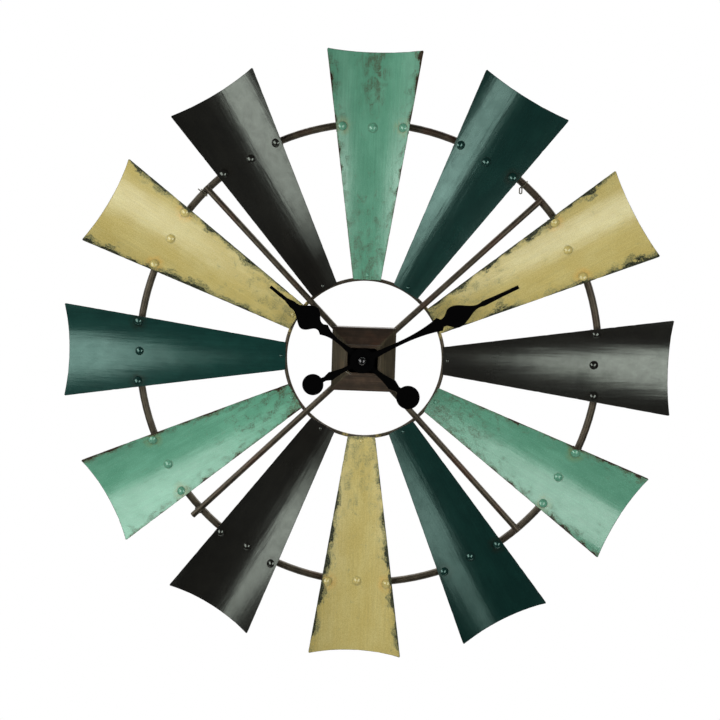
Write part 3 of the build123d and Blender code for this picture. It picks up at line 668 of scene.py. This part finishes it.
def make_rivet_set(colour, first_hour, material):
    """All the rivets of one colour as one piece."""
    segments = RIVET_SIDES
    vertices, faces, rises = [], [], []
    large = rivet_profile(*LARGE_RIVET)
    small = rivet_profile(*SMALL_RIVET)
    for hour in range(first_hour, BLADE_COUNT, len(COLOURS)):
        seats = [(side * LARGE_RIVET_ACROSS, LARGE_RIVET_RADIUS, large) for side in (-1, 0, 1)]
        seats.append((0.0, SMALL_RIVET_RADIUS, small))
        for sideways, radius, profile in seats:
            lean = asin(sideways / TROUGH_RADIUS)
            forward = TROUGH_CENTRE - TROUGH_RADIUS * cos(lean)
            seat = (hour, sideways, radius, forward, lean)
            top = profile[0][1]
            base = len(vertices)
            vertices.append(rivet_point(seat, (0.0, 0.0, top)))
            rises.append(1.0)
            rings = profile[1:-1]
            for ring_radius, height in rings:
                for segment in range(segments):
                    turn = 2 * pi * segment / segments
                    bearing = Vector((cos(turn), sin(turn), hour + sideways * 90))
                    dent = 1 + 0.03 * noise.noise(bearing * 1.4)
                    local = (ring_radius * dent * cos(turn), ring_radius * dent * sin(turn), height)
                    vertices.append(rivet_point(seat, local))
                    rises.append(max(0.0, height / top))
            vertices.append(rivet_point(seat, (0.0, 0.0, profile[-1][1])))
            rises.append(0.0)
            last = len(vertices) - 1
            for segment in range(segments):
                following = (segment + 1) % segments
                faces.append((base, base + 1 + segment, base + 1 + following))
                for ring in range(len(rings) - 1):
                    near = base + 1 + ring * segments
                    far = near + segments
                    faces.append((near + segment, far + segment, far + following, near + following))
                end = base + 1 + (len(rings) - 1) * segments
                faces.append((end + segment, last, end + following))
    piece = new_piece(f"domed_rivets_{colour}", vertices, faces, [material], attributes={"rise": rises})
    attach(piece, "frame")
    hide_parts(f"rivets_{colour}")


def rivet_point(seat, local):
    """Place of a rivet's local point (sideways, outwards, up from the sheet) on a leaning seat."""
    hour, sideways, radius, forward, lean = seat
    x, y, up = local
    across = sideways + x * cos(lean) - up * sin(lean)
    out = forward + x * sin(lean) + up * cos(lean)
    return wheel_point(hour, across, radius + y, out)


def rivet_material(name):
    """The blade's paint on a domed head, thin on the crown, and dark in the seam below it with grime
    and painted contact shade.
    """
    look = PAINTS[name]
    g = Graph(f"{name}_rivet")
    rise = g.add("ShaderNodeAttribute", attribute_name="rise").outputs["Fac"]
    grain = g.noise(g.point, 1.1 * MM, detail=4.0, roughness=0.7)
    # Darker towards the foot of the head: grime in the seam and painted contact shade.
    seam = g.product(g.ramp(rise, 0.0, 0.3, 0.55, 0.0), g.ramp(grain, 0.35, 0.6, 0.5, 1.0))
    crown = g.product(g.ramp(rise, 0.75, 1.0), g.ramp(grain, 0.5, 0.68), look["wear"])
    colour = g.mix(g.ramp(grain, 0.3, 0.7), look["base"], look["pale"])
    colour = g.mix(g.product(seam, 0.75), colour, look["grime_and_shade"])
    colour = g.mix(g.product(crown, 0.45), colour, look["grime_and_shade"])
    rough = g.ramp(grain, 0.3, 0.7, look["roughness"] - 0.13, look["roughness"] - 0.05)
    normal = g.bump(grain, 0.05 * MM)
    return g.finish(colour, rough, normal, Specular_IOR_Level=0.9, Specular_Tint=look["sheen"])


def make_rivets():
    """One set of rivets for each colour."""
    for first_hour, colour in enumerate(COLOURS):
        make_rivet_set(colour, first_hour, rivet_material(colour))


# ---------------------------------------------------------------- finish of the CAD nodes


def dress(material, *names, bevel=None):
    """Gives CAD nodes a material, and rounded edges where asked."""
    for name in names:
        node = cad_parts[name]
        node.data.materials.clear()
        node.data.materials.append(material)
        if bevel:
            bevelled(node, bevel)


def plastic_material(name, colour, light, roughness, grain_size=0.5 * MM):
    """Moulded plastic with a fine, even grain."""
    g = Graph(name)
    grain = g.noise(g.point, grain_size, detail=2.0)
    clouds = g.noise(g.point, 8 * MM, detail=3.0)
    mixed = g.mix(g.ramp(clouds, 0.35, 0.7), colour, light)
    rough = g.ramp(grain, 0.3, 0.7, roughness - 0.05, roughness + 0.08)
    return g.finish(mixed, rough, g.bump(grain, 0.02 * MM))


# Sizes of the fine lines along X, Y and Z, on drawn metal and on wound wire.
DRAWN_LINES = (0.2 * MM, 6 * MM, 0.2 * MM)
WOUND_LINES = (0.12 * MM, 8 * MM, 8 * MM)


def metal_material(name, colour, light, roughness, metallic=1.0, line_sizes=DRAWN_LINES):
    """Bare metal with fine lines and faint staining."""
    g = Graph(name)
    lines = g.noise(g.point, line_sizes, detail=3.0)
    clouds = g.noise(g.point, 3 * MM, detail=4.0, roughness=0.6)
    mixed = g.mix(g.ramp(clouds, 0.35, 0.7), colour, light)
    rough = g.ramp(lines, 0.3, 0.7, roughness - 0.06, roughness + 0.1)
    return g.finish(mixed, rough, g.bump(lines, 0.008 * MM), Metallic=metallic)


def hand_material():
    """Dull black enamel on stamped hands, with a little dust."""
    g = Graph("hand_enamel")
    dust = g.noise(g.point, 4 * MM, detail=6.0, roughness=0.7)
    grain = g.noise(g.point, 0.4 * MM, detail=2.0)
    colour = g.mix(g.ramp(dust, 0.55, 0.8), srgb(1, 1, 1), srgb(6, 6, 6))
    rough = g.ramp(dust, 0.3, 0.7, 0.5, 0.6)
    return g.finish(colour, rough, g.bump(grain, 0.01 * MM), Specular_IOR_Level=0.012)


def cap_material():
    """Polished black cap, which mirrors each softbox as a small spot."""
    g = Graph("cap_enamel")
    dust = g.noise(g.point, 2 * MM, detail=4.0)
    rough = g.ramp(dust, 0.3, 0.7, 0.14, 0.22)
    return g.finish(srgb(2, 2, 2), rough, g.bump(dust, 0.005 * MM), Specular_IOR_Level=0.9)


def hub_material():
    """Bronze wash on the hub box, brushed round its walls, with painted light: a lighter lower wall,
    painted reflections on the side walls and a painted highlight beside its opening.
    """
    rust = srgb(48, 29, 20)
    g, colour = iron_graph("bronzed_hub", srgb(27, 19, 14), srgb(43, 32, 24), rust, 0.42)
    x, _, z = g.split(g.point)
    level = g.noise(g.point, (26 * MM, 1.2 * MM, 1.2 * MM), detail=3.0)
    upright = g.noise(g.point, (1.2 * MM, 1.2 * MM, 26 * MM), detail=3.0)
    off_x = g.calc("ABSOLUTE", x)
    off_z = g.calc("ABSOLUTE", z)
    side = g.ramp(g.calc("SUBTRACT", off_x, off_z), -1 * MM, 1 * MM)
    lines = g.calc("ADD", g.product(side, upright), g.product(g.calc("SUBTRACT", 1.0, side), level))
    # Painted light: the lower wall is drawn up to 1.7 times lighter, as if lit from above.
    colour = g.tint(colour, g.ramp(z, -10 * MM, 10 * MM, 1.7, 1.0))
    # Painted reflection: the side walls are drawn lighter and greener, as if mirroring the softboxes.
    colour = g.mix(g.product(side, 0.5), colour, srgb(62, 60, 44))
    # Painted highlight: a band up to 1.5 times lighter along the step round the opening.
    beside_step = g.calc("ABSOLUTE", g.calc("SUBTRACT", g.most(off_x, off_z), HUB_STEP))
    colour = g.tint(colour, g.ramp(beside_step, 1 * MM, 4 * MM, 1.5, 0.95))
    colour = g.tint(colour, g.ramp(lines, 0.33, 0.67, 0.55, 1.5))
    g.feed(g.shader.inputs["Base Color"], colour)
    return g.material


def dress_nodes():
    """Every CAD node that stays visible gets its own finish."""
    dark, light, rust = srgb(26, 24, 18), srgb(56, 52, 41), srgb(54, 33, 24)
    rod = iron_material("bronzed_rod", dark, light, rust)
    strap = iron_material("bronzed_strap", srgb(18, 15, 13), srgb(34, 28, 22), rust)
    dress(rod, "outer_ring")
    dress(ring_material(dark, light, rust), "inner_ring")
    dress(rod, "spoke_upper_right", "spoke_lower_right", "spoke_lower_left", "spoke_upper_left")
    dress(hub_material(), "hub_housing", bevel=0.3 * MM)
    dress(strap, "blade_ribs", "ring_clips", bevel=0.1 * MM)
    dress(hand_material(), "movement_plate")
    wire = metal_material("dull_wire", srgb(70, 66, 52), srgb(112, 108, 88), 0.4, 0.6)
    dress(wire, "hanging_wire_right", "hanging_wire_left")
    dress(hand_material(), "minute_hand", "hour_hand", bevel=0.15 * MM)
    dress(cap_material(), "cap_nut")
    shell = plastic_material("case_shell", srgb(28, 28, 30), srgb(34, 34, 36), 0.5)
    dress(shell, "movement_case", "movement_cover", bevel=0.2 * MM)
    acetal = plastic_material("acetal", srgb(222, 218, 206), srgb(232, 228, 218), 0.4)
    dress(acetal, "setting_knob", "motion_wheel", "hour_wheel", "centre_wheel", "third_wheel")
    dress(acetal, "seconds_wheel", "intermediate_wheel", "rotor_pinion", "coil_bobbin")
    brass = metal_material("turned_brass", srgb(196, 158, 86), srgb(214, 180, 110), 0.28)
    dress(brass, "minute_arbor", "brass_washer", "hex_nut")
    winding = (srgb(176, 92, 54), srgb(206, 120, 72), 0.3, 1.0, WOUND_LINES)
    dress(metal_material("copper_winding", *winding), "coil_winding")
    for node, name, colour, light, roughness in (
        ("stator", "stator_steel", srgb(150, 150, 148), srgb(180, 180, 176), 0.32),
        ("rotor_magnet", "magnet", srgb(70, 70, 74), srgb(92, 92, 96), 0.45),
        ("quartz_crystal", "crystal_can", srgb(190, 190, 190), srgb(210, 210, 208), 0.25),
        ("battery_contacts", "contact_steel", srgb(184, 184, 180), srgb(206, 206, 202), 0.25),
    ):
        dress(metal_material(name, colour, light, roughness), node)
    for node, name, colour, light, roughness in (
        ("rubber_washer", "washer_rubber", srgb(24, 24, 24), srgb(34, 34, 34), 0.75),
        ("circuit_board", "board_resin", srgb(36, 96, 56), srgb(48, 112, 66), 0.4),
        ("battery", "battery_jacket", srgb(38, 60, 110), srgb(46, 70, 122), 0.25),
    ):
        dress(plastic_material(name, colour, light, roughness), node)


# ---------------------------------------------------------------- welds


def add_bead(mesh, place, size, seed):
    """One lump of weld metal, uneven and a little flattened, added to a bmesh."""
    bead = bmesh.ops.create_icosphere(mesh, subdivisions=2, radius=1.0)
    for vertex in bead["verts"]:
        swell = 1 + 0.28 * noise.noise(vertex.co * 1.7 + Vector((seed, 0.0, 0.0)))
        x, y, z = vertex.co
        vertex.co = place + Vector((x * size, y * size * 0.7, z * size)) * swell


def bead_piece(name, beads, material):
    """Piece made of many beads, each a place and a size."""
    mesh = bmesh.new()
    for seed, (place, size) in enumerate(beads):
        add_bead(mesh, place, size, seed)
    data = bpy.data.meshes.new(name)
    mesh.to_mesh(data)
    mesh.free()
    data.polygons.foreach_set("use_smooth", [True] * len(data.polygons))
    data.materials.append(material)
    piece = bpy.data.objects.new(name, data)
    bpy.context.scene.collection.objects.link(piece)
    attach(piece, "frame")


def make_welds():
    """Weld beads where the spokes cross the rings, and bright spatter at the hub's opening."""
    beads = []
    for clockwise, ring in SPOKES:
        for side in (-1, 1):
            for radius, size in ((INNER_RING_RADIUS, 1.3 * MM), (ring * MM - 1 * MM, 1.7 * MM)):
                aside = side * SPOKE_WELD_ASIDE
                place = rim_point(radians(clockwise), aside, radius, ROD_FRONT - 0.2 * MM)
                beads.append((place, size))
    weld = iron_material("weld_metal", srgb(26, 22, 18), srgb(52, 46, 38), srgb(48, 30, 22), 0.34)
    bead_piece("spoke_welds", beads, weld)
    bright = metal_material("spatter_metal", srgb(120, 116, 104), srgb(160, 156, 140), 0.22)
    spatter = [
        (Vector((-15.6, -37.4, -11.9)) * MM, 1.0 * MM),
        (Vector((-13.9, -37.5, -13.0)) * MM, 0.8 * MM),
        (Vector((-12.0, -37.4, -13.9)) * MM, 0.9 * MM),
        (Vector((-16.6, -37.1, -13.6)) * MM, 0.55 * MM),
    ]
    bead_piece("hub_spatter", spatter, bright)


# ---------------------------------------------------------------- stage


def make_stage():
    """Plain pale floor well below the clock, where no blade mirrors it."""
    floor_level, side, front, back = -1.3, 2.5, -0.4, 1.6
    material = plastic_material("stage_floor", srgb(226, 226, 222), srgb(232, 232, 229), 0.8, 4 * MM)
    corners = [(-side, front), (side, front), (side, back), (-side, back)]
    corners = [(x, y, floor_level) for x, y in corners]
    floor = new_piece("stage_floor", corners, [(0, 1, 2, 3)], [material])


# Brightness of the world to the camera, and to all else in front of the dial and behind it.
SEEN_BY_CAMERA = 1.0
IN_FRONT = 0.025
BEHIND = 0.5


def make_world():
    """White backdrop to the camera; to all else dark in front of the dial and grey behind it."""
    world = bpy.data.worlds.new("studio")
    bpy.context.scene.world = world
    world.use_nodes = True
    tree = world.node_tree
    tree.nodes.clear()
    output = tree.nodes.new("ShaderNodeOutputWorld")
    choose = tree.nodes.new("ShaderNodeMixShader")
    path = tree.nodes.new("ShaderNodeLightPath")
    tree.links.new(path.outputs["Is Camera Ray"], choose.inputs[0])
    split = tree.nodes.new("ShaderNodeSeparateXYZ")
    tree.links.new(tree.nodes.new("ShaderNodeTexCoord").outputs["Generated"], split.inputs[0])
    fade = tree.nodes.new("ShaderNodeMapRange")
    tree.links.new(split.outputs["Y"], fade.inputs[0])
    for index, value in ((1, 0.0), (2, 0.6), (3, IN_FRONT), (4, BEHIND)):
        fade.inputs[index].default_value = value
    for index, strength in ((1, fade.outputs[0]), (2, SEEN_BY_CAMERA)):
        background = tree.nodes.new("ShaderNodeBackground")
        background.inputs["Color"].default_value = (1, 1, 1, 1)
        if isinstance(strength, float):
            background.inputs["Strength"].default_value = strength
        else:
            tree.links.new(strength, background.inputs["Strength"])
        tree.links.new(background.outputs[0], choose.inputs[index])
    tree.links.new(choose.outputs[0], output.inputs[0])


def add_lamp(name, width, height, radiance):
    """Rectangular lamp of one radiance, which faces down until it is turned."""
    data = bpy.data.lights.new(name, "AREA")
    data.shape = "RECTANGLE"
    data.size = width
    data.size_y = height
    data.energy = radiance * pi * data.size * data.size_y
    lamp = bpy.data.objects.new(name, data)
    bpy.context.scene.collection.objects.link(lamp)
    return lamp


def make_softbox(name, inner, outer, low, high, radiance):
    """Upright softbox between two points of the floor plan, facing the clock."""
    inner, outer = Vector(inner), Vector(outer)
    run = outer - inner
    middle = (inner + outer) / 2
    lamp = add_lamp(name, run.length, high - low, radiance)
    square_to_run = Vector((run.y, -run.x, 0))
    if square_to_run.dot(middle) > 0:
        square_to_run = -square_to_run
    lamp.location = (middle.x, middle.y, (low + high) / 2)
    lamp.rotation_euler = square_to_run.to_track_quat("-Z", "Z").to_euler()


def make_lights():
    """Two upright softboxes, which the hollow blades mirror, and a flat one over the floor.

    The flat one is behind the clock, where the front of no blade can mirror it.
    """
    make_softbox("softbox_right", (0.36, -1.0, 0), (0.80, -0.71, 0), -0.42, 0.48, 3.9)
    make_softbox("softbox_left", (-0.52, -1.0, 0), (-1.05, -0.52, 0), -0.42, 0.82, 3.75)
    width, depth, radiance = 4.4, 1.5, 3.0
    lamp = add_lamp("softbox_floor", width, depth, radiance)
    lamp.location = (0, 0.85, 0.6)
    lamp.visible_camera = False


CAMERA_PLACE = (0.0498, -1.0185, 0.0826)
FOCAL_LENGTH = 49.57
SENSOR_WIDTH = 36.0
TURN, TILT, ROLL = 3.06, 90 - 4.78, 1.75  # degrees about Z, X and the line of sight


def make_camera():
    """Camera a metre in front, a little right of and above the dial, aimed at the dial."""
    data = bpy.data.cameras.new("camera")
    data.sensor_width = SENSOR_WIDTH
    data.lens = FOCAL_LENGTH
    camera = bpy.data.objects.new("camera", data)
    turn = Matrix.Rotation(radians(TURN), 4, "Z")
    tilt = Matrix.Rotation(radians(TILT), 4, "X")
    roll = Matrix.Rotation(radians(ROLL), 4, "Z")
    place = Matrix.Translation(Vector(CAMERA_PLACE))
    camera.matrix_world = place @ turn @ tilt @ roll
    bpy.context.scene.collection.objects.link(camera)
    bpy.context.scene.camera = camera


def set_view():
    """Plain colours, so that the white backdrop stays white."""
    scene = bpy.context.scene
    scene.view_settings.view_transform = "Standard"
    scene.view_settings.look = "None"
    scene.view_settings.exposure = 0.0
    scene.view_settings.gamma = 1.0


make_camera()
make_world()
make_lights()
make_stage()
set_view()
make_blades()
make_rivets()
make_welds()
dress_nodes()
